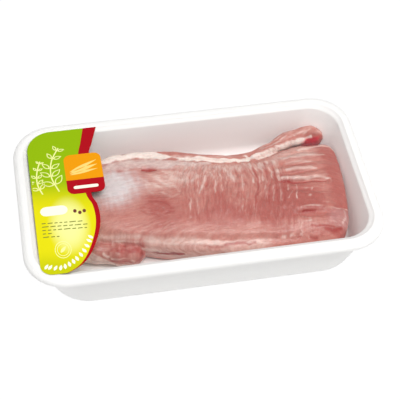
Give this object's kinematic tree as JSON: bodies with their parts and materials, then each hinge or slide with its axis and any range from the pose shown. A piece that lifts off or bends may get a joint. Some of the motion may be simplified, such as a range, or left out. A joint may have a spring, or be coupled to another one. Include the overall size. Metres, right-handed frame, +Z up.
{
  "type": "pork loin roast",
  "caption": "Raw pork loin roast in a white foam tray, sealed with clear film under a printed end label: a long lying muscle with a fat seam, a loose flap and cross wrinkles.",
  "frame": {"origin": "middle of the tray's underside", "axes": "+X along the tray towards the loin's thick end, +Y towards the long side that the loin's loose flap lies along, +Z up"},
  "size_m": [0.27, 0.155, 0.0458],
  "materials": {
    "foam": "smooth white foam skin",
    "meat": "moist raw pork",
    "film": "clear glossy film",
    "label": "printed label, semi-gloss"
  },
  "bodies": {
    "root": {"tray": "foam", "pork_loin": "meat", "film": "film", "label": "label"}
  },
  "joints": []
}
